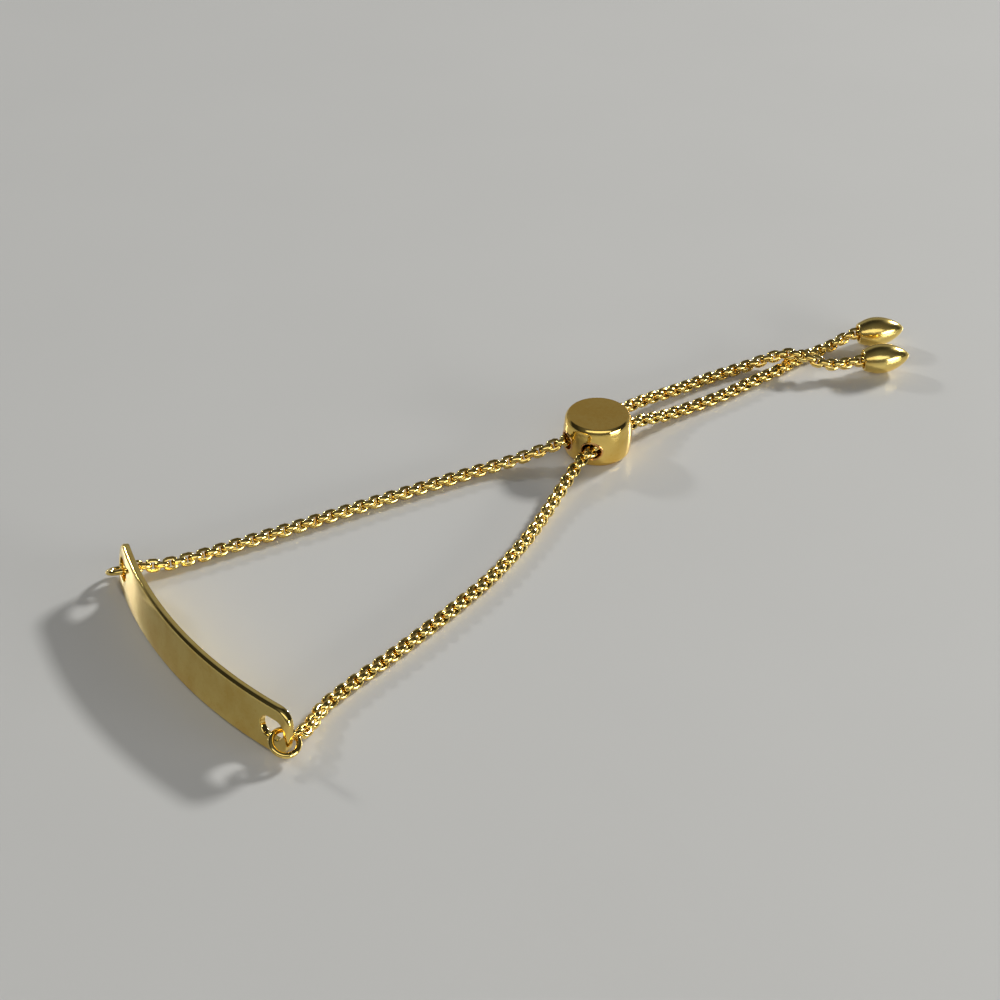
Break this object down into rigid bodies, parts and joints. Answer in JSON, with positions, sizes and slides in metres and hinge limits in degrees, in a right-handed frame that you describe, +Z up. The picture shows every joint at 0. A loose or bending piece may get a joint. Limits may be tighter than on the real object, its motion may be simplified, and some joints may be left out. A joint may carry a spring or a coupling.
{
  "type": "chain bracelet",
  "caption": "Adjustable round box chain bracelet with a curved bar, a sliding round bead that sets the loop's size, and drop-shaped end beads.",
  "frame": {"origin": "middle of the base of the whole object's box, on the surface it lies on", "axes": "+X from the bar towards the drop-shaped end beads, +Z up from the surface"},
  "size_m": [0.1062, 0.0369, 0.0051],
  "materials": {
    "bar_gold": "mirror polished yellow gold plating",
    "ring_gold": "polished yellow gold plating",
    "chain_gold": "bright yellow gold plating with stamped edges",
    "bead_gold": "polished yellow gold plating, its top disc lightly brushed",
    "drop_gold": "mirror polished yellow gold plating"
  },
  "bodies": {
    "root": {"bar": "bar_gold", "ring_far": "ring_gold", "ring_near": "ring_gold", "chain_far": "chain_gold", "chain_near": "chain_gold", "slider_bead": "bead_gold", "end_bead_far": "drop_gold", "end_bead_near": "drop_gold"}
  },
  "joints": []
}
